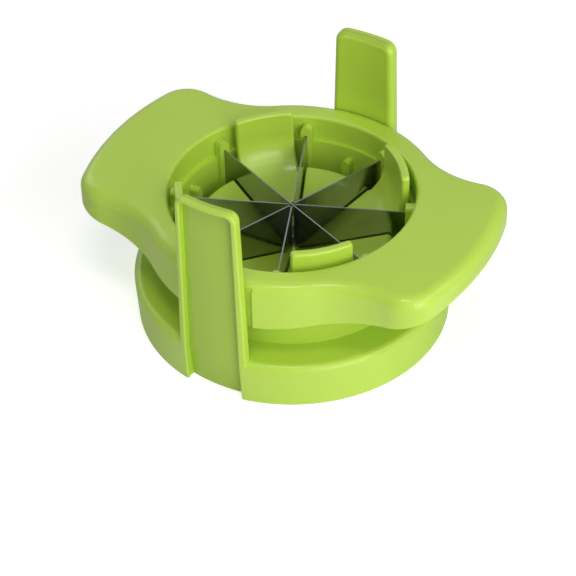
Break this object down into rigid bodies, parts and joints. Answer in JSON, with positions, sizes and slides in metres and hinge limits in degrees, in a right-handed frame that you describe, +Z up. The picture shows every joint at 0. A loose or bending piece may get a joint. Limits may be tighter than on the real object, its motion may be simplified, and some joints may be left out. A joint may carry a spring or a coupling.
{
  "type": "lemon wedger",
  "caption": "Push-down citrus wedger: a winged frame with crossed steel blades slides on two posts over a round base whose slotted cup has tall pusher fingers.",
  "frame": {"origin": "centre of the base's foot, on the surface that it stands on", "axes": "+Z is up, +X points along the right-hand wing, and the two posts stand on -Y (front) and +Y (rear)"},
  "size_m": [0.1362, 0.1052, 0.0751],
  "materials": {
    "base_plastic": "moulded lime green plastic with a soft gloss",
    "cup_plastic": "moulded lime green plastic with a soft gloss",
    "ring_plastic": "moulded lime green plastic with a soft gloss",
    "frame_plastic": "moulded lime green plastic with a soft gloss",
    "blade_steel": "thin rolled stainless strip, smooth and reflective, with a ground lower edge"
  },
  "bodies": {
    "base": {"base_body": "base_plastic", "pusher_cup": "cup_plastic"},
    "cutter": {"handle_frame": "frame_plastic", "blade_ring": "ring_plastic", "blade_strip_1": "blade_steel", "blade_strip_2": "blade_steel", "blade_strip_3": "blade_steel", "blade_strip_4": "blade_steel"}
  },
  "joints": [
    {"name": "cutter_lift", "type": "slide", "parent": "base", "child": "cutter", "axis": [0, 0, 1], "range_m": [0, 0.06]}
  ]
}
